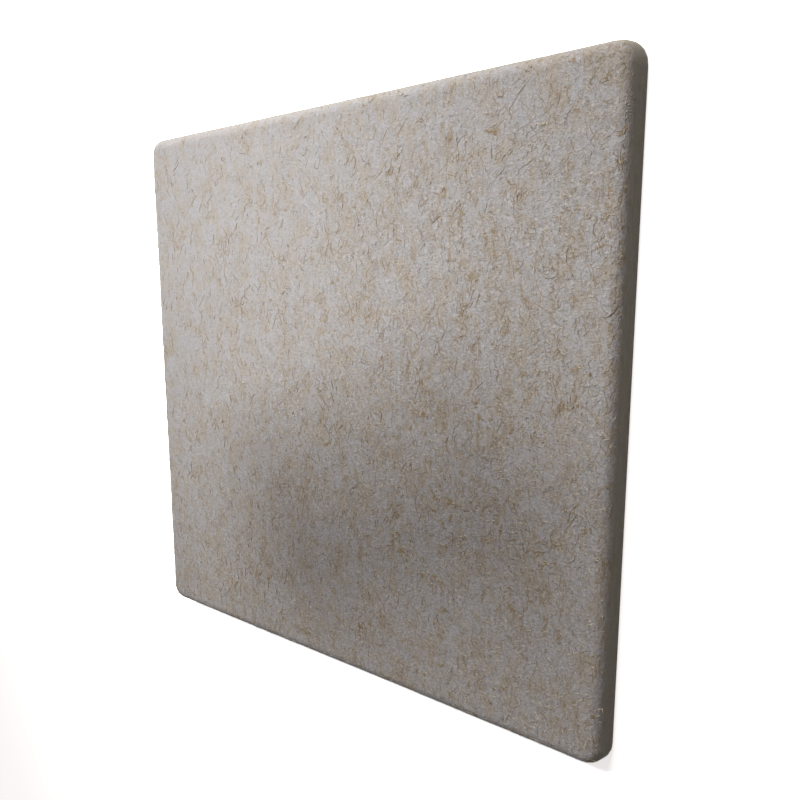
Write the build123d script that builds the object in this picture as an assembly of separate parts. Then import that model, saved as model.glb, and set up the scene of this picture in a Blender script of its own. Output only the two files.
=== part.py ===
"""Square wall panel pressed from natural-fibre felt, lying on its back.

One felt blank, hot-pressed in a mould: a flat back, sides that lean in towards
the front so that the blank leaves the mould, and a soft round-over that runs
along the front edge and round the corners. Millimetres.
The origin is the centre of the back face, +X is the panel's width, +Y its
height on the wall, and +Z points out of the front face.
"""

import math
import os

from build123d import *

# Driving dimensions: the outline is the finished one over the eased back edge, and the draft is in degrees
PANEL_WIDTH = 300.0
PANEL_HEIGHT = 300.0
PANEL_THICKNESS = 12.0
SIDE_DRAFT = 15.0
CORNER_RADIUS = 10.5
FRONT_EDGE_RADIUS = 6.5
BACK_EDGE_RADIUS = 1.5

# Easing the sharp back edge draws the outline in by this much on each side, so the blank starts that much larger
LEAN = math.radians(SIDE_DRAFT)
EASING = BACK_EDGE_RADIUS * (math.tan(LEAN) + 1 / math.cos(LEAN) - 1)


def felt_panel():
    """The pressed felt blank: a rounded square with drafted sides, a soft front edge and an eased back edge."""
    with BuildPart() as panel:
        with BuildSketch(Plane.XY):
            RectangleRounded(PANEL_WIDTH + 2 * EASING, PANEL_HEIGHT + 2 * EASING, CORNER_RADIUS + EASING)
        extrude(amount=PANEL_THICKNESS, taper=SIDE_DRAFT)
        front_face = panel.faces().sort_by(Axis.Z)[-1]
        fillet(front_face.edges(), radius=FRONT_EDGE_RADIUS)
        back_face = panel.faces().sort_by(Axis.Z)[0]
        fillet(back_face.edges(), radius=BACK_EDGE_RADIUS)
    return panel.part


os.makedirs("parts", exist_ok=True)
export_step(felt_panel(), "parts/felt_panel.step")
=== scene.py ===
"""Square wall panel pressed from natural-fibre felt: its felt skin, its plant fibres and a plain stage."""

import math
from typing import NamedTuple

import bpy
import numpy as np
from bpy.props import FloatProperty, FloatVectorProperty, IntProperty, PointerProperty
from mathutils import Matrix, Vector


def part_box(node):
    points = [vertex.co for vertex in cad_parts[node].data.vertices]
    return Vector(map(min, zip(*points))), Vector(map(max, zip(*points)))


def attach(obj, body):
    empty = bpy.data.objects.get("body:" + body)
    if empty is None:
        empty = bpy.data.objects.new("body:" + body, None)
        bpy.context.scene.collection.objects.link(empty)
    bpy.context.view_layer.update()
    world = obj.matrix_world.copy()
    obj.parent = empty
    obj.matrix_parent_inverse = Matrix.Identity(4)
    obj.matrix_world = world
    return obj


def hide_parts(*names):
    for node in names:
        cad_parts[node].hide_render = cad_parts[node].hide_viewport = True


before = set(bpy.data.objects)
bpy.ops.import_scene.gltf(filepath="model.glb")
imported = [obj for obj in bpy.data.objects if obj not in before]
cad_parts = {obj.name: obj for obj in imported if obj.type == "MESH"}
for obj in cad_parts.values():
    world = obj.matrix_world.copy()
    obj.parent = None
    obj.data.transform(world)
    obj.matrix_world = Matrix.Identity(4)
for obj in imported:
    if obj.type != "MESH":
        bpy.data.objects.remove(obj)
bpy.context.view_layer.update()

bl_info = {
    "name": "Felt Wall Panel",
    "version": (1, 0, 0),
    "blender": (4, 5, 0),
    "location": "View3D > Sidebar > Felt Panel",
    "description": "Builds a pressed felt wall panel with loose plant fibres, lying on a pale floor",
    "category": "Object",
}

MM = 0.001
NODE = "felt_panel"
BODY = "root"

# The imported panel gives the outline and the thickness
PANEL_LOW, PANEL_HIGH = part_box(NODE)

# Random fields live on a square lattice that is a little wider than the panel
FIELD_SIDE = 360 * MM
FIELD_CELLS = 1200

# Mesh of the skin: cells across the front, and steps down the edge's section
FRONT_CELLS = 276
FRONT_ARC_STEPS = 8
SIDE_STEPS = 5
BACK_ARC_STEPS = 3
BACK_MARGIN = 3 * MM  # width of the ring inside the back's outline

# Mean depth of the relief below the pressed surface, in spreads
RELIEF_MEAN = 4.0

# Mesh of one fibre: pieces along it and sides round it
FIBRE_STEPS = 8
FIBRE_SIDES = 3

# Form of one fibre
HOOK_START = 0.55  # share of the way along where a hook starts
WEAVE_WAVES = (0.4, 1.2)  # waves of its weave along it
END_SINK = 1.5  # depth of its ends, in radii
END_TAPER = 0.75  # share of its girth that its ends lose

# Headings of fibres on the front, and the lift of a fibre that lies down
LEVEL = 0.0
UPRIGHT = math.pi / 2
FLAT = (0.0, 0.0)

# Where fibres lie
TRIES_PER_FIBRE = 8  # places tried for each fibre
SMOOTH_SHARE = 0.35  # share of them kept on the smoothest nap
EDGE_REACH = 0.45  # share of the way down the edge that a fibre may reach

# The nap loosens in a soft step from the upper left to the lower right
NAP_SLOPE = 5
NAP_SHIFT = 0.24  # how far towards the upper left the middle of the step lies

# Name of the texture map stored on each piece. The export bakes through a map of this
# name
MAP_NAME = "OFBake"
FRONT_SHARE = 0.6  # share of the map's width that the front and its edge take
MAP_ROOM = 1.02  # room round them in the map

# Lamps, in metres: place, target, side and tint of the soft lamp and of the low one
KEY_PLACE = (-0.35, 0.55, 0.75)
KEY_TARGET = (-0.012, 0.03, 0.012)
KEY_SIDE = 0.2
KEY_TINT = (0.985, 1.0, 1.0)
TOP_PLACE = (0.15, 1.8, 0.6)
TOP_TARGET = (0.0, 0.0, 0.012)
TOP_SIDE = 0.5
TOP_TINT = (1.0, 0.918, 0.888)

# Tint of the even light from all round
SKY_TINT = (1.1, 1.0, 0.975)

# Net in front of the soft lamp, in metres
NET_TARGET = (0.039, -0.072, 0.012)  # point that it shades
NET_WAY = 0.316  # share of the way from there to the lamp
NET_HALF_SIDES = (0.034, 0.077)
NET_TURN = -1.012  # about the lamp's line, in radians
NET_PASSED = 0.38  # share of the light that passes

# Floor, in metres
FLOOR_HALF = 1.1
FLOOR_GAP = 0.05 * MM  # under the panel
FLOOR_SHOWN = 2.6  # how strongly it shows the light that falls on it
FLOOR_GLOW = 0.57  # how bright it shows in full shadow

# Corners of a flat sheet, in order round it
AROUND = ((-1, -1), (1, -1), (1, 1), (-1, 1))

WHITE = (1.0, 1.0, 1.0)

# Camera: width of its sensor in millimetres, its nearest sight, its place and its target
SENSOR_WIDTH = 36.0
CAMERA_NEAR = 10 * MM
CAMERA_PLACE = (231.9 * MM, 53.7 * MM, 272.9 * MM)
CAMERA_TARGET = (43.1 * MM, 4.25 * MM, 12.0 * MM)


class PanelSizes(bpy.types.PropertyGroup):
    """Section of the pressed edge and depth of the felt's relief"""

    corner_radius: FloatProperty(
        name="Corner radius", description="Radius of the finished outline's corners",
        default=10.5 * MM, min=7 * MM, unit="LENGTH", subtype="DISTANCE")
    front_radius: FloatProperty(
        name="Front edge radius", description="Radius of the soft round-over along the front edge",
        default=6.5 * MM, min=1 * MM, unit="LENGTH", subtype="DISTANCE")
    back_radius: FloatProperty(
        name="Back edge radius", description="Radius of the eased back edge",
        default=1.5 * MM, min=0.2 * MM, unit="LENGTH", subtype="DISTANCE")
    draft: FloatProperty(
        name="Side draft", description="Lean of the sides towards the front, from the mould",
        default=math.radians(15), min=0.0, max=math.radians(30), subtype="ANGLE")
    relief: FloatProperty(
        name="Relief", description="Spread of the felt's fine bumps",
        default=0.03 * MM, min=0.0, unit="LENGTH", subtype="DISTANCE")


class FeltColours(bpy.types.PropertyGroup):
    """Colours of the felt and of the plant fibres in it"""

    felt_cool: FloatVectorProperty(
        name="Cool felt", description="Felt between the fibre clusters",
        default=(0.482, 0.472, 0.484), size=3, min=0.0, max=1.0, subtype="COLOR")
    felt_warm: FloatVectorProperty(
        name="Warm felt", description="Felt stained by buried plant fibres",
        default=(0.464, 0.407, 0.342), size=3, min=0.0, max=1.0, subtype="COLOR")
    # Pressed side: denser felt, its olive tint partly painted bounce light of the shaded sides
    side_felt_and_painted_bounce: FloatVectorProperty(
        name="Pressed side", description="Denser felt on the pressed sides",
        default=(0.468, 0.442, 0.352), size=3, min=0.0, max=1.0, subtype="COLOR")
    tan_fibre: FloatVectorProperty(
        name="Tan fibre", description="Common plant fibre",
        default=(0.346, 0.256, 0.152), size=3, min=0.0, max=1.0, subtype="COLOR")
    brown_fibre: FloatVectorProperty(
        name="Brown fibre", description="Scattered dark plant fibre",
        default=(0.17, 0.112, 0.062), size=3, min=0.0, max=1.0, subtype="COLOR")
    pale_fibre: FloatVectorProperty(
        name="Pale fibre", description="Loose golden fibre ends that stand proud",
        default=(0.76, 0.68, 0.52), size=3, min=0.0, max=1.0, subtype="COLOR")


class FibreAmounts(bpy.types.PropertyGroup):
    """How many fibres of each kind show on the felt"""

    tan_count: IntProperty(
        name="Tan fibres", description="Tan fibres that lie in the surface",
        default=3000, min=0, max=3900)
    ochre_count: IntProperty(
        name="Ochre hairs", description="Short fine hairs that lie between the tan fibres",
        default=3900, min=0, max=3900)
    brown_count: IntProperty(
        name="Brown fibres", description="Dark fibres that lie on the surface",
        default=300, min=0, max=3900)
    pale_count: IntProperty(
        name="Pale fibres", description="Pale fibre ends that stand proud",
        default=3800, min=0, max=3900)


class StageLevels(bpy.types.PropertyGroup):
    """Light, floor and lens"""

    key_power: FloatProperty(
        name="Key lamp", description="Power of the soft lamp at the upper left",
        default=0.935, min=0.0, unit="POWER")
    key_spread: FloatProperty(
        name="Key spread", description="Angle to which the grid on the soft lamp narrows its light",
        default=math.radians(55.6), min=math.radians(5), max=math.radians(180), subtype="ANGLE")
    top_power: FloatProperty(
        name="Top lamp", description="Power of the low lamp past the upper edge",
        default=13.5, min=0.0, unit="POWER")
    sky_level: FloatProperty(
        name="Sky", description="Strength of the even light from all round",
        default=0.085, min=0.0)
    floor_tone: FloatProperty(
        name="Floor", description="How much light the floor throws back",
        default=0.3, min=0.0, max=1.0, subtype="FACTOR")
    lens: FloatProperty(
        name="Lens", description="Focal length on a 36 mm sensor, in millimetres",
        default=30.32, min=10.0, unit="CAMERA")


class EdgeSection(NamedTuple):
    """Section of the panel's edge as arrays, and the core outline that it is carried along"""

    core: np.ndarray
    flat: float
    out: np.ndarray
    height: np.ndarray
    tilt: np.ndarray
    run: np.ndarray
    side_end: float


class FibreKind(NamedTuple):
    """How one kind of fibre grows

    Length, radius and lift are ranges in metres. Heading is in radians, and slant, bend and hook are
    spreads of angles. Rise and sway are heights in radii, and hook_share and cluster are shares.
    """

    name: str
    seed: int
    count: int
    length: tuple
    radius: tuple
    heading: float
    slant: float
    bend: float
    hook: float
    hook_share: float
    rise: float
    sway: float
    lift: tuple
    cluster: float


def edge_section(sizes):
    """Section from the flat front to the flat back: an arc, the leaning side and a small arc.

    The front arc turns the normal from +Z to the side's own lean and the back arc turns it on to -Z.
    `out` is the distance from the core outline, which is the back outline drawn in by its corner radius.
    """
    thick = PANEL_HIGH.z - PANEL_LOW.z
    front, back = sizes.front_radius, sizes.back_radius
    lean, secant = math.tan(sizes.draft), 1 / math.cos(sizes.draft)
    eased = back * (lean + secant - 1)
    corner = sizes.corner_radius + eased
    half = np.array([PANEL_HIGH.x - PANEL_LOW.x, PANEL_HIGH.y - PANEL_LOW.y]) / 2 + eased
    turn = math.pi / 2 - sizes.draft
    front_angle = np.linspace(0, turn, FRONT_ARC_STEPS + 1)
    back_angle = np.linspace(turn, math.pi, BACK_ARC_STEPS + 1)
    front_out = corner - (thick - front) * lean - front * secant + front * np.sin(front_angle)
    front_z = thick - front + front * np.cos(front_angle)
    back_out = corner - back * (lean + secant) + back * np.sin(back_angle)
    back_z = back + back * np.cos(back_angle)
    part = np.linspace(0, 1, SIDE_STEPS + 1)[1:-1]
    side_out = front_out[-1] + part * (back_out[0] - front_out[-1])
    side_z = front_z[-1] + part * (back_z[0] - front_z[-1])
    out = np.concatenate([front_out, side_out, back_out])
    height = np.concatenate([front_z, side_z, back_z])
    tilt = np.concatenate([front_angle, np.full(len(part), turn), back_angle])
    run = np.concatenate([[0.0], np.cumsum(np.hypot(np.diff(out), np.diff(height)))])
    side_end = run[FRONT_ARC_STEPS + SIDE_STEPS]
    return EdgeSection(half - corner, out[0], out, height, tilt, run, side_end)


def fold(flat_points, section):
    """Wraps points of a flat sheet over the panel: places, outward normals, distances past the front.

    Inside the front's outline a point stays where it is, on the front plane. Past it, the distance
    beyond the outline is run off along the edge's section, square to the outline.
    """
    core = np.clip(flat_points, -section.core, section.core)
    gap = flat_points - core
    reach = np.hypot(gap[..., 0], gap[..., 1])
    outward = gap / np.maximum(reach, 1e-9)[..., None]
    past = reach - section.flat
    out = np.where(past > 0, np.interp(past, section.run, section.out), reach)
    height = np.interp(past, section.run, section.height)
    tilt = np.interp(past, section.run, section.tilt)
    level = core + out[..., None] * outward
    places = np.concatenate([level, height[..., None]], -1)
    normals = np.concatenate([np.sin(tilt)[..., None] * outward, np.cos(tilt)[..., None]], -1)
    return places, normals, past


def random_field(seed, wavelength, stretch=1.0):
    """Smooth random field with mean 0 and spread 1: white noise, its waves weighted by a bell curve.

    Waves shorter than the wavelength fade out, and the pattern is drawn out along Y by the stretch.
    """
    white = np.random.default_rng(seed).standard_normal((FIELD_CELLS, FIELD_CELLS))
    waves = np.fft.fftfreq(FIELD_CELLS, FIELD_SIDE / FIELD_CELLS) * wavelength
    weight = np.exp(-(waves[:, None] ** 2 + (stretch * waves[None, :]) ** 2))
    field = np.fft.ifft2(np.fft.fft2(white) * weight).real
    return (field - field.mean()) / field.std()


def read_field(field, points):
    """Values of a field at flat points, blended between the four lattice points around each."""
    lattice = (points / FIELD_SIDE + 0.5) * FIELD_CELLS
    low = np.floor(lattice).astype(int)
    part = lattice - low
    x0, y0 = low[..., 0] % FIELD_CELLS, low[..., 1] % FIELD_CELLS
    x1, y1 = (x0 + 1) % FIELD_CELLS, (y0 + 1) % FIELD_CELLS
    px, py = part[..., 0], part[..., 1]
    near = field[x0, y0] * (1 - px) + field[x1, y0] * px
    far = field[x0, y1] * (1 - px) + field[x1, y1] * px
    return near * (1 - py) + far * py


def relief_fields():
    """Random fields of the felt's relief with their shares: fine bumps, soft lumps, slow unevenness."""
    return (
        (1.0, random_field(11, 4 * MM)),
        (1.6, random_field(12, 14 * MM)),
        (3.0, random_field(13, 70 * MM)),
    )


def relief_depth(points, fields, spread):
    """How far the felt lies below the pressed surface at flat points, never above it."""
    bumps = sum(share * read_field(field, points) for share, field in fields)
    return np.maximum(spread * (RELIEF_MEAN - bumps), 0.0)


def cluster_field():
    """Where plant fibres gather, from 0 to 1: upright patches inside broader drifts."""
    patches = random_field(21, 6 * MM, 1.9) + 0.5 * random_field(22, 22 * MM, 1.4)
    return 1 / (1 + np.exp(-1.3 * patches))


def nap_share(points):
    """How loose the nap lies at flat points: a soft step from 0, smooth, at the upper left to 1."""
    across = (points[..., 0] / PANEL_HIGH.x - points[..., 1] / PANEL_HIGH.y) / 2
    return 1 / (1 + np.exp(-NAP_SLOPE * (across + NAP_SHIFT)))


def build_object(name, places, quads, triangles, ngon=()):
    """New object at the origin from vertex places and whole arrays of faces, smooth shaded."""
    corners = np.concatenate([quads.ravel(), triangles.ravel(), np.asarray(ngon, int)]).astype(np.int32)
    sides = [np.full(len(quads), 4), np.full(len(triangles), 3)] + ([[len(ngon)]] if len(ngon) else [])
    sides = np.concatenate(sides)
    starts = np.concatenate([[0], np.cumsum(sides)[:-1]]).astype(np.int32)
    mesh = bpy.data.meshes.new(name)
    mesh.vertices.add(len(places))
    mesh.vertices.foreach_set("co", places.astype(np.float32).ravel())
    mesh.loops.add(len(corners))
    mesh.loops.foreach_set("vertex_index", corners)
    mesh.polygons.add(len(starts))
    mesh.polygons.foreach_set("loop_start", starts)
    mesh.polygons.foreach_set("use_smooth", np.ones(len(starts), bool))
    mesh.update(calc_edges=True)
    if mesh.validate():
        raise RuntimeError(name + " has faulty faces")
    made = bpy.data.objects.new(name, mesh)
    bpy.context.scene.collection.objects.link(made)
    return made


def store_values(made, name, values):
    """Stores one number for each vertex as a named attribute."""
    layer = made.data.attributes.new(name, "FLOAT", "POINT")
    layer.data.foreach_set("value", values.astype(np.float32).ravel())


def store_map(made, corners_uv):
    """Stores a texture map given for each face corner."""
    layer = made.data.uv_layers.new(name=MAP_NAME)
    layer.uv.foreach_set("vector", corners_uv.astype(np.float32).ravel())


def dress(made, material):
    """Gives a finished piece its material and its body."""
    made.data.materials.append(material)
    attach(made, BODY)


def skin_object(sizes):
    """The felt skin: a square grid over the front, joined to rings down the edge and under the back.

    A grid point keeps its direction from the centre and is drawn in at the corners, so that the grid's
    rim follows the rounded outline. Each ring is the outline pushed out along the edge's section. The
    felt's relief then sinks every point along its normal, and fades out towards the back.
    """
    section = edge_section(sizes)
    step = np.linspace(-1, 1, FRONT_CELLS + 1)
    square = np.stack(np.meshgrid(step, step, indexing="ij"), -1)
    share = np.abs(square).max(-1)
    rim = square / np.maximum(share, 1e-9)[..., None] * (section.core + section.flat)
    inner = np.clip(rim, -section.core, section.core)
    gap = rim - inner
    turned = gap / np.maximum(np.linalg.norm(gap, axis=-1), 1e-9)[..., None]
    front_flat = share[..., None] * (inner + section.flat * turned)

    index = np.arange((FRONT_CELLS + 1) ** 2).reshape(FRONT_CELLS + 1, FRONT_CELLS + 1)
    loop = np.concatenate([index[:-1, 0], index[-1, :-1], index[:0:-1, -1], index[0, :0:-1]])
    loop_core, loop_out = inner.reshape(-1, 2)[loop], turned.reshape(-1, 2)[loop]
    runs = section.run[1:, None, None]
    ring_flat = loop_core + (section.flat + runs) * loop_out

    sheet = np.concatenate([front_flat.reshape(-1, 2), ring_flat.reshape(-1, 2)])
    places, normals, past = fold(sheet, section)
    edge = np.clip(past / section.side_end, 0, 1)
    depth = relief_depth(sheet, relief_fields(), sizes.relief) * (1 - edge)
    places -= depth[:, None] * normals

    around = len(loop)
    rings = len(section.run) - 1
    ring_index = index.size + np.arange(rings * around).reshape(rings, around)
    ring_index = np.concatenate([loop[None], ring_index])
    inset = places[ring_index[-1]] - np.concatenate([loop_out, np.zeros((around, 1))], 1) * BACK_MARGIN
    inset_index = len(places) + np.arange(around)
    places = np.concatenate([places, inset])
    ring_index = np.concatenate([ring_index, inset_index[None]])

    front = np.stack([index[:-1, :-1], index[1:, :-1], index[1:, 1:], index[:-1, 1:]], -1)
    front = front.reshape(-1, 4)
    upper, lower = ring_index[:-1], ring_index[1:]
    side = np.stack([upper, lower, np.roll(lower, -1, 1), np.roll(upper, -1, 1)], -1).reshape(-1, 4)
    quads = np.concatenate([front, side])
    ngon = inset_index[::-1]
    made = build_object("felt_skin", places, quads, np.empty((0, 3), int), ngon)

    cluster = read_field(cluster_field(), sheet)
    store_values(made, "side", np.concatenate([edge, np.ones(around)]))
    store_values(made, "cluster", np.concatenate([cluster, cluster[-around:]]))
    nap = nap_share(sheet)
    store_values(made, "nap", np.concatenate([nap, nap[-around:]]))
    store_map(made, skin_map(sheet, section, front, side, around, inset, ngon))
    return made


def skin_map(sheet, section, front, side, around, inset, ngon):
    """Flat map of the skin: the unfolded front with its edge on the left, and the back beside it."""
    reach = (section.core + section.flat + section.run[-1] + BACK_MARGIN).max() * MAP_ROOM
    margin = sheet[-around:]
    outward = margin - np.clip(margin, -section.core, section.core)
    outward /= np.linalg.norm(outward, axis=1)[:, None]
    unfolded = np.concatenate([sheet, margin + outward * BACK_MARGIN])
    front_uv = (unfolded / reach + 1) / 2 * FRONT_SHARE
    back_uv = (inset[:, :2] / reach + 1) / 2 * (1 - FRONT_SHARE) + np.array([FRONT_SHARE, 0.0])
    back_corners = np.asarray(ngon) - (len(unfolded) - around)
    return np.concatenate([front_uv[front.ravel()], front_uv[side.ravel()], back_uv[back_corners]])


def fibre_lines(kind, section, cluster, rng):
    """Flat centre lines of one kind of fibre, and each point's share of the way along.

    A fibre's heading is its slant plus a steady bend, a slow sway and, on some, a hook that winds up
    towards the tip. Summing short steps along the heading gives the line. Places are kept where plant
    fibres gather and the nap is loose, and lines that would reach far over the edge are dropped.
    """
    tries = kind.count * TRIES_PER_FIBRE
    reach = section.core + section.flat + section.side_end
    middle = rng.uniform(-1, 1, (tries, 2)) * reach
    wanted = (1 - kind.cluster) + kind.cluster * read_field(cluster, middle) ** 2
    wanted *= SMOOTH_SHARE + (1 - SMOOTH_SHARE) * nap_share(middle)
    middle = middle[rng.random(tries) < wanted]
    tries = len(middle)
    along = np.linspace(0, 1, FIBRE_STEPS + 1)
    length = rng.uniform(*kind.length, tries) * rng.uniform(0.5, 1.0, tries)
    slant = rng.normal(kind.heading, kind.slant, tries) + math.pi * rng.integers(0, 2, tries)
    bend = rng.normal(0, kind.bend, tries)
    sway = rng.normal(0, kind.bend * 0.6, tries)
    phase = rng.uniform(0, 2 * math.pi, tries)
    hook = rng.normal(0, kind.hook, tries) * (rng.random(tries) < kind.hook_share)
    tip = np.clip((along - HOOK_START) / (1 - HOOK_START), 0, 1) ** 1.5
    heading = slant[:, None] + bend[:, None] * (along - 0.5)
    heading += sway[:, None] * np.sin(2 * math.pi * along + phase[:, None]) + hook[:, None] * tip
    stride = (length / FIBRE_STEPS)[:, None, None] * np.stack([np.cos(heading), np.sin(heading)], -1)
    line = np.cumsum(stride, 1)
    line += middle[:, None] - line.mean(1, keepdims=True)
    outside = np.linalg.norm(line - np.clip(line, -section.core, section.core), axis=-1) - section.flat
    line = line[outside.max(1) < EDGE_REACH * section.side_end][: kind.count]
    if len(line) < kind.count:
        raise RuntimeError("too few places for " + kind.name)
    return line, along


def fibre_object(kind, sizes, section, cluster, relief):
    """One joined mesh of closed tubes, a triangle profile carried along each fibre's line.

    A lying fibre weaves in and out of the felt along a sine, its ends sunk. A raised one lifts off as
    the square of the way along. The radius tapers to both ends.
    """
    rng = np.random.default_rng(kind.seed)
    line, along = fibre_lines(kind, section, cluster, rng)
    count = len(line)
    radius = rng.uniform(*kind.radius, count)[:, None]
    waves = rng.uniform(*WEAVE_WAVES, count)[:, None]
    phase = rng.uniform(0, 2 * math.pi, count)[:, None]
    lift = rng.uniform(*kind.lift, count)[:, None]
    places, normals, past = fold(line, section)
    sunk = relief_depth(line, relief, sizes.relief) * (1 - np.clip(past / section.side_end, 0, 1))
    ends = np.abs(2 * along - 1) ** 6
    height = radius * (kind.rise + kind.sway * np.sin(2 * math.pi * waves * along + phase))
    height = height + lift * along ** 2 - END_SINK * radius * ends * (lift == 0) - sunk
    centre = places + normals * height[..., None]

    ahead = np.gradient(centre, axis=1)
    ahead /= np.linalg.norm(ahead, axis=-1, keepdims=True)
    across = np.cross(normals, ahead)
    across /= np.linalg.norm(across, axis=-1, keepdims=True)
    up = np.cross(ahead, across)
    girth = radius * (1 - END_TAPER * ends)
    angle = math.pi / 2 + 2 * math.pi * np.arange(FIBRE_SIDES) / FIBRE_SIDES
    spoke = np.cos(angle)[:, None] * across[:, :, None] + np.sin(angle)[:, None] * up[:, :, None]
    tubes = centre[:, :, None] + girth[:, :, None, None] * spoke

    index = np.arange(tubes.size // 3).reshape(count, FIBRE_STEPS + 1, FIBRE_SIDES)
    ring, following = index[:, :-1], index[:, 1:]
    quads = np.stack([ring, np.roll(ring, -1, 2), np.roll(following, -1, 2), following], -1)
    caps = np.concatenate([index[:, 0, ::-1], index[:, -1]])
    made = build_object(kind.name, tubes.reshape(-1, 3), quads.reshape(-1, 4), caps)
    tone = np.broadcast_to(rng.random(count)[:, None, None], index.shape)
    store_values(made, "tone", tone)
    store_map(made, fibre_map(count))
    return made


def fibre_map(count):
    """Map of a joined mesh of fibres: each one unrolled in a square cell, with its two caps beside it."""
    columns = math.ceil(math.sqrt(count))
    cell = np.stack(np.divmod(np.arange(count), columns), -1) / columns
    step, side = np.meshgrid(np.arange(FIBRE_STEPS), np.arange(FIBRE_SIDES), indexing="ij")
    corner = np.array([[0, 0], [0, 1], [1, 1], [1, 0]])
    unrolled = np.stack([step, side], -1)[:, :, None] + corner
    unrolled = unrolled / np.array([FIBRE_STEPS, FIBRE_SIDES]) * 0.8 + np.array([0.05, 0.1])
    cap = np.array([[0.9, 0.1], [0.9, 0.4], [0.97, 0.25]])
    quads = cell[:, None, None, None] + unrolled / columns
    first = cell[:, None] + cap / columns
    last = cell[:, None] + (cap + np.array([0.0, 0.5])) / columns
    return np.concatenate([quads.reshape(-1, 2), first.reshape(-1, 2), last.reshape(-1, 2)])


class Graph:
    """A material's node tree while it is being put together"""

    def __init__(self, tree):
        self.tree = tree
        tree.nodes.clear()

    def add(self, kind, inputs=None, **settings):
        """New node with its settings, and its inputs given as numbers or as other nodes' outputs."""
        node = self.tree.nodes.new(kind)
        for key, value in settings.items():
            setattr(node, key, value)
        for key, value in (inputs or {}).items():
            if isinstance(value, bpy.types.NodeSocket):
                self.tree.links.new(value, node.inputs[key])
            else:
                node.inputs[key].default_value = value
        return node

    def noise(self, vector, wavelength, stretch=(1, 1, 1), shift=0.0,
              detail=2.0, roughness=0.5, distortion=0.0):
        """Cloudy noise from 0 to 1 with a wavelength in millimetres, stretched and moved aside."""
        aside = (shift, 0.7 * shift, 1.3 * shift)
        moved = self.add("ShaderNodeMapping", {0: vector, "Location": aside, "Scale": stretch})
        inputs = {
            "Vector": moved.outputs[0], "Scale": 1 / wavelength,
            "Detail": detail, "Roughness": roughness, "Distortion": distortion,
        }
        return self.add("ShaderNodeTexNoise", inputs).outputs[0]

    def ramp(self, value, low, high, start=0.0, end=1.0):
        """Smooth step of a value from low to high."""
        inputs = {0: value, 1: low, 2: high, 3: start, 4: end}
        return self.add("ShaderNodeMapRange", inputs, interpolation_type="SMOOTHSTEP").outputs[0]

    def math(self, operation, first, second=0.0):
        """One operation on two numbers."""
        return self.add("ShaderNodeMath", {0: first, 1: second}, operation=operation).outputs[0]

    def mix(self, factor, first, second, blend="MIX"):
        """Two colours mixed by a factor."""
        inputs = {0: factor, 6: first, 7: second}
        return self.add("ShaderNodeMix", inputs, data_type="RGBA", blend_type=blend).outputs[2]

    def threads(self, vector, wavelength, width, stretch, shift):
        """Thin curling lines, where a noise passes through its middle value."""
        field = self.noise(vector, wavelength, stretch, shift, detail=1.2, distortion=0.9)
        off = self.math("ABSOLUTE", self.math("SUBTRACT", field, 0.5))
        return self.ramp(off, 0.0, width, 1.0, 0.0)

    def strands(self, vector, width, length, turn, shift):
        """Short parallel strands: noise of a width drawn out to a length, turned about Z from upright."""
        turned = self.add("ShaderNodeMapping", {0: vector, "Rotation": (0, 0, turn)}).outputs[0]
        return self.noise(turned, width, (1, width / length, 1), shift, detail=2.5, roughness=0.7)

    def millimetres(self):
        """Place on the object, in millimetres."""
        place = self.add("ShaderNodeTexCoord").outputs["Object"]
        return self.add("ShaderNodeVectorMath", {0: place, "Scale": 1 / MM}, operation="SCALE").outputs[0]

    def stored(self, name):
        """Number stored on the mesh under a name."""
        return self.add("ShaderNodeAttribute", attribute_name=name).outputs["Fac"]

    def product(self, first, second):
        """Two numbers multiplied."""
        return self.math("MULTIPLY", first, second)

    def finish(self, **inputs):
        """Shader and output at the end of the tree."""
        shader = self.add("ShaderNodeBsdfPrincipled", inputs)
        self.add("ShaderNodeOutputMaterial", {"Surface": shader.outputs[0]})


def solid(colour):
    """A colour with full alpha."""
    return (*colour, 1.0)


def new_graph(name):
    """New material, and the graph of its empty node tree."""
    material = bpy.data.materials.new(name)
    material.use_nodes = True
    return material, Graph(material.node_tree)


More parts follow.
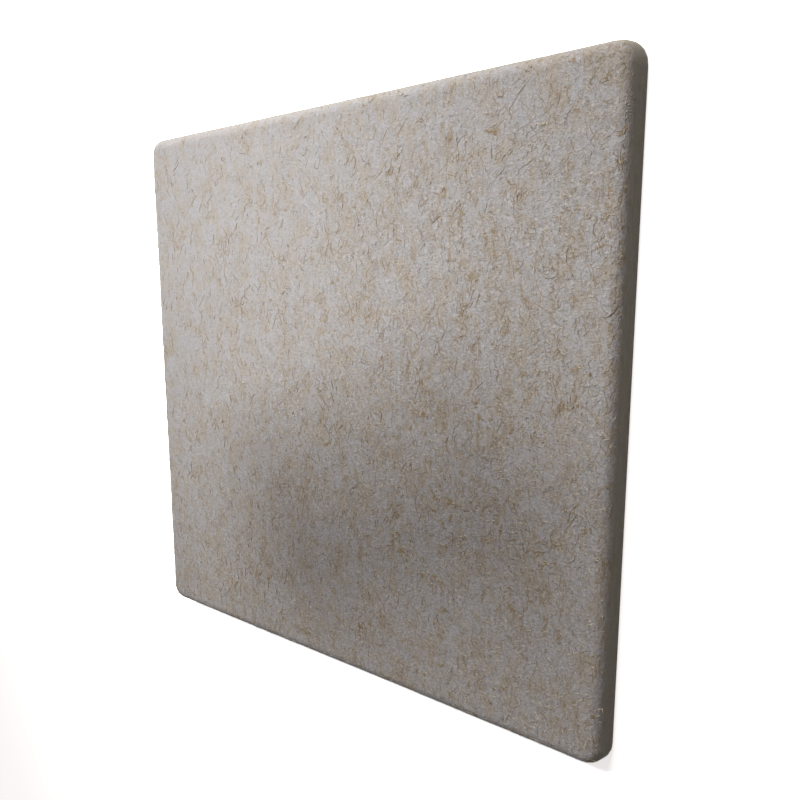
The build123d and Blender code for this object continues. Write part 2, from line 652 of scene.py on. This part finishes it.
def felt_material(colours):
    """Pressed felt: cool and warm drifts, buried tan threads, fine grain with painted highlights and painted
    shade, a few dark specks and denser sides tinted with painted bounce light.

    Where the nap is loose, the threads, the grain and the bumps are stronger than where it is smooth.
    """
    material, g = new_graph("pressed_felt")
    mm = g.millimetres()
    cluster, side, nap = g.stored("cluster"), g.stored("side"), g.stored("nap")

    # Warm stains and short tan dashes, both gathered in upright drifts
    drift = g.noise(mm, 9.0, (1, 0.5, 1), 31.0, detail=2.0, roughness=0.6)
    gather = g.product(g.ramp(drift, 0.34, 0.62, 0.3, 1.0), g.ramp(nap, 0.0, 1.0, 0.5, 1.1))
    dash = g.noise(mm, 1.5, (1, 0.4, 1), 37.0, detail=3.5, roughness=0.7, distortion=0.6)
    dash = g.product(g.ramp(dash, 0.44, 0.68), gather)
    haze = g.noise(mm, 5.0, (1, 0.6, 1), 43.0, detail=4.0, roughness=0.68)
    stain = g.product(g.ramp(haze, 0.36, 0.62), g.ramp(drift, 0.36, 0.62, 0.35, 1.0))
    stain = g.product(stain, g.ramp(nap, 0.0, 1.0, 0.72, 0.85))
    colour = g.mix(stain, solid(colours.felt_cool), solid(colours.felt_warm))
    colour = g.mix(g.product(dash, 0.52), colour, solid(colours.tan_fibre))

    # Broken threads of buried fibre, strongest where fibres gather
    broken = g.ramp(g.noise(mm, 3.0, (1, 0.7, 1), 57.0), 0.44, 0.58)
    first = g.threads(mm, 7.0, 0.018, (1, 0.4, 1), 5.0)
    second = g.threads(mm, 4.5, 0.022, (1, 0.6, 1), 83.0)
    third = g.threads(mm, 10.0, 0.012, (0.7, 1, 1), 131.0)
    lines = g.math("MAXIMUM", g.math("MAXIMUM", first, second), third)
    lines = g.product(lines, broken)
    strength = g.product(lines, g.ramp(cluster, 0.1, 0.8, 0.3, 0.8))
    strength = g.product(strength, g.ramp(nap, 0.0, 1.0, 0.8, 1.3))
    colour = g.mix(strength, colour, solid(colours.tan_fibre))

    # Grain of the nap: strands three ways and soft lumps, with painted highlights on their raised parts and
    # painted shade in their hollows, and fine light tips and dark pits, which are painted glints and painted
    # shade
    level = g.strands(mm, 0.5, 0.9, UPRIGHT, 17.0)
    rising = g.strands(mm, 0.55, 1.1, UPRIGHT + 0.6, 71.0)
    falling = g.strands(mm, 0.55, 1.1, UPRIGHT - 0.7, 113.0)
    grain = g.product(g.math("ADD", g.math("ADD", level, rising), falling), 1 / 3)
    coarse = g.noise(mm, 1.8, (0.8, 1, 1), 211.0, detail=2.5, roughness=0.6)
    grain_and_painted_light = g.product(g.ramp(grain, 0.36, 0.64, 0.86, 1.17), g.ramp(coarse, 0.25, 0.75, 0.94, 1.06))
    # Painted glints on fine light tips and painted shade in dark pits
    painted_glint_and_pit_noise = g.noise(mm, 0.8, (0.6, 1, 1), 251.0, detail=1.0)
    painted_glints_and_pits = g.product(g.ramp(painted_glint_and_pit_noise, 0.56, 0.72, 1.0, 1.2), g.ramp(painted_glint_and_pit_noise, 0.28, 0.44, 0.8, 1.0))
    grain_and_painted_light = g.product(grain_and_painted_light, painted_glints_and_pits)
    # The grain's painted highlights and painted shade go into the colour, fainter where the nap is smooth
    colour = g.mix(g.ramp(nap, 0.0, 1.0, 0.45, 1.0), colour, g.mix(1.0, colour, grain_and_painted_light, "MULTIPLY"))

    # A few dark specks
    speck = g.ramp(g.noise(mm, 1.1, shift=301.0, detail=0.0), 0.82, 0.86)
    colour = g.mix(g.product(speck, 0.5), colour, solid(colours.brown_fibre))

    # Denser felt on the pressed sides, in faint streaks, its olive tint partly painted bounce light of the
    # shaded sides
    streak = g.noise(mm, 1.2, (1, 0.12, 1), 401.0, detail=3.0)
    pressed_and_painted_bounce = g.mix(1.0, solid(colours.side_felt_and_painted_bounce), g.ramp(streak, 0.2, 0.8, 0.9, 1.08), "MULTIPLY")
    colour = g.mix(g.ramp(side, 0.25, 0.60, 0.0, 0.75), colour, pressed_and_painted_bounce)

    # Bumps of the grain, which fade over the edge
    height = g.math("ADD", g.product(grain, 0.9), g.product(lines, 0.15))
    height = g.math("ADD", height, g.product(coarse, 0.5))
    height = g.math("SUBTRACT", height, g.product(dash, 0.2))
    height = g.product(height, g.ramp(side, 0.18, 0.55, 1.0, 0.4))
    height = g.product(height, g.ramp(nap, 0.0, 1.0, 0.5, 1.2))
    bump = g.add("ShaderNodeBump", {"Strength": 1.0, "Distance": 0.52 * MM, "Height": height}).outputs[0]
    rough = g.ramp(grain, 0.3, 0.7, 0.98, 0.86)
    g.finish(**{"Base Color": colour, "Roughness": rough, "Normal": bump, "Specular IOR Level": 0.2})
    return material


def fibre_material(name, dark, light, roughness):
    """Plant fibre: each fibre has a tone of its own between two colours, with finer patches along it."""
    material, g = new_graph(name)
    patch = g.ramp(g.noise(g.millimetres(), 1.5, shift=9.0), 0.3, 0.7)
    share = g.math("ADD", g.product(g.stored("tone"), 0.75), g.product(patch, 0.25))
    colour = g.mix(share, solid(dark), solid(light))
    g.finish(**{"Base Color": colour, "Roughness": roughness, "Specular IOR Level": 0.35})
    return material


def toned(colour, factor):
    """A colour made lighter or darker."""
    return tuple(min(1.0, part * factor) for part in colour)


class PressSkin(bpy.types.Operator):
    """Press the felt blank: front, soft edge, leaning sides and flat back in one skin"""

    bl_idname = "felt_panel.press_skin"
    bl_label = "Press felt skin"

    def execute(self, context):
        skin = skin_object(context.scene.felt_sizes)
        dress(skin, felt_material(context.scene.felt_colours))
        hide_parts(NODE)
        return {"FINISHED"}


def grow(scene, kinds):
    """Makes each kind of fibre on the panel, given with its material."""
    sizes = scene.felt_sizes
    section, cluster, relief = edge_section(sizes), cluster_field(), relief_fields()
    for kind, material in kinds:
        dress(fibre_object(kind, sizes, section, cluster, relief), material)


class LayFibres(bpy.types.Operator):
    """Lay ochre hairs and tan and brown plant fibres in the felt's surface"""

    bl_idname = "felt_panel.lay_fibres"
    bl_label = "Lay plant fibres"

    def execute(self, context):
        colours, amounts = context.scene.felt_colours, context.scene.felt_fibres
        tan, brown = colours.tan_fibre, colours.brown_fibre
        ochre_hairs = FibreKind(
            name="ochre_hairs", seed=44, count=amounts.ochre_count,
            length=(2.5 * MM, 8 * MM), radius=(0.05 * MM, 0.1 * MM), heading=UPRIGHT, slant=0.65,
            bend=0.9, hook=1.8, hook_share=0.2, rise=-0.3, sway=1.0, lift=FLAT, cluster=0.7)
        tan_fibres = FibreKind(
            name="tan_fibres", seed=41, count=amounts.tan_count,
            length=(8 * MM, 24 * MM), radius=(0.075 * MM, 0.13 * MM), heading=UPRIGHT, slant=0.42,
            bend=0.8, hook=2.0, hook_share=0.25, rise=-0.25, sway=0.95, lift=FLAT, cluster=0.8)
        brown_fibres = FibreKind(
            name="brown_fibres", seed=42, count=amounts.brown_count,
            length=(4 * MM, 15 * MM), radius=(0.09 * MM, 0.15 * MM), heading=UPRIGHT, slant=0.6,
            bend=1.4, hook=3.0, hook_share=0.4, rise=-0.1, sway=1.0, lift=FLAT, cluster=0.5)
        grow(context.scene, (
            (ochre_hairs, fibre_material("ochre_bast", toned(tan, 0.85), toned(tan, 1.6), 0.65)),
            (tan_fibres, fibre_material("tan_bast", toned(tan, 0.8), toned(tan, 1.4), 0.7)),
            (brown_fibres, fibre_material("brown_bast", toned(brown, 0.8), toned(tan, 0.9), 0.7)),
        ))
        return {"FINISHED"}


class RaiseFibres(bpy.types.Operator):
    """Raise pale fibre ends off the felt, where they catch the light"""

    bl_idname = "felt_panel.raise_fibres"
    bl_label = "Raise fibre ends"

    def execute(self, context):
        pale = context.scene.felt_colours.pale_fibre
        pale_fibres = FibreKind(
            name="pale_fibres", seed=43, count=context.scene.felt_fibres.pale_count,
            length=(1.5 * MM, 5 * MM), radius=(0.06 * MM, 0.11 * MM), heading=LEVEL, slant=0.7,
            bend=1.2, hook=2.0, hook_share=0.4, rise=0.4, sway=0.3, lift=(0.1 * MM, 0.8 * MM), cluster=0.4)
        bast = fibre_material("pale_bast", toned(pale, 0.8), toned(pale, 1.25), 0.5)
        grow(context.scene, ((pale_fibres, bast),))
        return {"FINISHED"}


def seen_directly(g):
    """1 for rays from the camera, mirrors and glass, and 0 for rays that carry light."""
    path = g.add("ShaderNodeLightPath").outputs
    seen = g.math("MAXIMUM", path["Is Camera Ray"], path["Is Glossy Ray"])
    return g.math("MAXIMUM", seen, path["Is Transmission Ray"])


def stage_sheet(name, corners, material):
    """One flat four-sided sheet of the stage."""
    mesh = bpy.data.meshes.new(name)
    mesh.from_pydata(corners, [], [(0, 1, 2, 3)])
    mesh.materials.append(material)
    sheet = bpy.data.objects.new(name, mesh)
    bpy.context.scene.collection.objects.link(sheet)
    return sheet


def floor_object(tone):
    """Wide pale floor under the panel, which shows white with the panel's shadow on it."""
    material, g = new_graph("pale_floor")
    plain = g.add("ShaderNodeBsdfDiffuse", {"Color": solid((tone,) * 3)}).outputs[0]
    bright = g.add("ShaderNodeBsdfDiffuse", {"Color": solid((FLOOR_SHOWN,) * 3)}).outputs[0]
    glow = g.add("ShaderNodeEmission", {"Color": solid(WHITE), "Strength": FLOOR_GLOW}).outputs[0]
    shown = g.add("ShaderNodeAddShader", {0: bright, 1: glow}).outputs[0]
    either = g.add("ShaderNodeMixShader", {0: seen_directly(g), 1: plain, 2: shown}).outputs[0]
    g.add("ShaderNodeOutputMaterial", {"Surface": either})
    level = PANEL_LOW.z - FLOOR_GAP
    corners = [(x * FLOOR_HALF, y * FLOOR_HALF, level) for x, y in AROUND]
    floor = stage_sheet("floor", corners, material)
    return floor


def lamp_object(name, power, tint, side, spread, place, target):
    """Square soft lamp that faces a point, with a grid that narrows its spread."""
    lamp = bpy.data.lights.new(name, "AREA")
    lamp.energy = power
    lamp.size = side
    lamp.spread = spread
    lamp.color = tint
    made = bpy.data.objects.new(name, lamp)
    made.location = place
    made.rotation_euler = (Vector(target) - Vector(place)).to_track_quat("-Z", "Y").to_euler()
    made.visible_camera = False
    bpy.context.scene.collection.objects.link(made)
    return made


def net_object(place, target, way, half_sides, turn, passed):
    """Small net between a lamp's place and a target, square to that line, which softly shades the panel.

    It stands at a share of the way from the target to the lamp. It only passes part of the light, and
    no ray shows it.
    """
    lamp, aim = np.array(place), np.array(target)
    axis = (lamp - aim) / np.linalg.norm(lamp - aim)
    level = np.cross((0.0, 1.0, 0.0), axis)
    level /= np.linalg.norm(level)
    steep = np.cross(axis, level)
    along = math.cos(turn) * level + math.sin(turn) * steep
    across = math.cos(turn) * steep - math.sin(turn) * level
    signs = np.array(AROUND) * np.array(half_sides)
    corners = aim + way * (lamp - aim) + signs[:, :1] * along + signs[:, 1:] * across
    material, g = new_graph("open_net")
    weave = g.add("ShaderNodeBsdfTransparent", {"Color": solid((passed,) * 3)}).outputs[0]
    g.add("ShaderNodeOutputMaterial", {"Surface": weave})
    net = stage_sheet("shade_net", corners.tolist(), material)
    net.visible_camera = False
    net.visible_diffuse = False
    net.visible_glossy = False
    net.visible_transmission = False
    return net


def camera_object(lens, place, target):
    """Camera whose upward edge follows the panel's +Y."""
    camera = bpy.data.cameras.new("camera")
    camera.lens = lens
    camera.sensor_width = SENSOR_WIDTH
    camera.clip_start = CAMERA_NEAR
    back = (Vector(place) - Vector(target)).normalized()
    right = Vector((0, 1, 0)).cross(back).normalized()
    up = back.cross(right)
    made = bpy.data.objects.new("camera", camera)
    made.matrix_world = Matrix.Translation(place) @ Matrix((right, up, back)).transposed().to_4x4()
    bpy.context.scene.collection.objects.link(made)
    bpy.context.scene.camera = made
    return made


def studio_world(level):
    """Even dim sky that shows white."""
    world = bpy.data.worlds.new("studio")
    world.use_nodes = True
    g = Graph(world.node_tree)
    light = g.add("ShaderNodeBackground", {"Color": solid(SKY_TINT), "Strength": level}).outputs[0]
    white = g.add("ShaderNodeBackground", {"Color": solid(WHITE), "Strength": 1.0}).outputs[0]
    either = g.add("ShaderNodeMixShader", {0: seen_directly(g), 1: light, 2: white}).outputs[0]
    g.add("ShaderNodeOutputWorld", {"Surface": either})
    return world


class SetStage(bpy.types.Operator):
    """Set the floor, the light and the camera"""

    bl_idname = "felt_panel.set_stage"
    bl_label = "Set stage"

    def execute(self, context):
        levels = context.scene.felt_stage
        floor_object(levels.floor_tone)
        power, spread = levels.key_power, levels.key_spread
        lamp_object("key_lamp", power, KEY_TINT, KEY_SIDE, spread, KEY_PLACE, KEY_TARGET)
        lamp_object("top_lamp", levels.top_power, TOP_TINT, TOP_SIDE, math.pi, TOP_PLACE, TOP_TARGET)
        net_object(KEY_PLACE, NET_TARGET, NET_WAY, NET_HALF_SIDES, NET_TURN, NET_PASSED)
        context.scene.world = studio_world(levels.sky_level)
        context.scene.view_settings.view_transform = "Standard"
        camera_object(levels.lens, CAMERA_PLACE, CAMERA_TARGET)
        return {"FINISHED"}


class FeltPanelSidebar(bpy.types.Panel):
    """Lists the panel's settings and steps"""

    bl_idname = "VIEW3D_PT_felt_panel"
    bl_label = "Felt Panel"
    bl_space_type = "VIEW_3D"
    bl_region_type = "UI"
    bl_category = "Felt Panel"

    def draw(self, context):
        for group in (context.scene.felt_sizes, context.scene.felt_colours, context.scene.felt_fibres,
                      context.scene.felt_stage):
            box = self.layout.box()
            for name in group.__annotations__:
                box.prop(group, name)
        for step in STEPS:
            self.layout.operator(step.bl_idname)


STEPS = (PressSkin, LayFibres, RaiseFibres, SetStage)
CLASSES = (PanelSizes, FeltColours, FibreAmounts, StageLevels, *STEPS, FeltPanelSidebar)


def register():
    """Registers the classes and hangs the settings on the scene."""
    for cls in CLASSES:
        bpy.utils.register_class(cls)
    bpy.types.Scene.felt_sizes = PointerProperty(type=PanelSizes)
    bpy.types.Scene.felt_colours = PointerProperty(type=FeltColours)
    bpy.types.Scene.felt_fibres = PointerProperty(type=FibreAmounts)
    bpy.types.Scene.felt_stage = PointerProperty(type=StageLevels)


def unregister():
    """Takes the settings and the classes away again."""
    for name in ("felt_sizes", "felt_colours", "felt_fibres", "felt_stage"):
        delattr(bpy.types.Scene, name)
    for cls in reversed(CLASSES):
        bpy.utils.unregister_class(cls)


def main():
    """Builds the panel and its stage."""
    register()
    bpy.ops.felt_panel.press_skin()
    bpy.ops.felt_panel.lay_fibres()
    bpy.ops.felt_panel.raise_fibres()
    bpy.ops.felt_panel.set_stage()


if __name__ == "__main__":
    main()
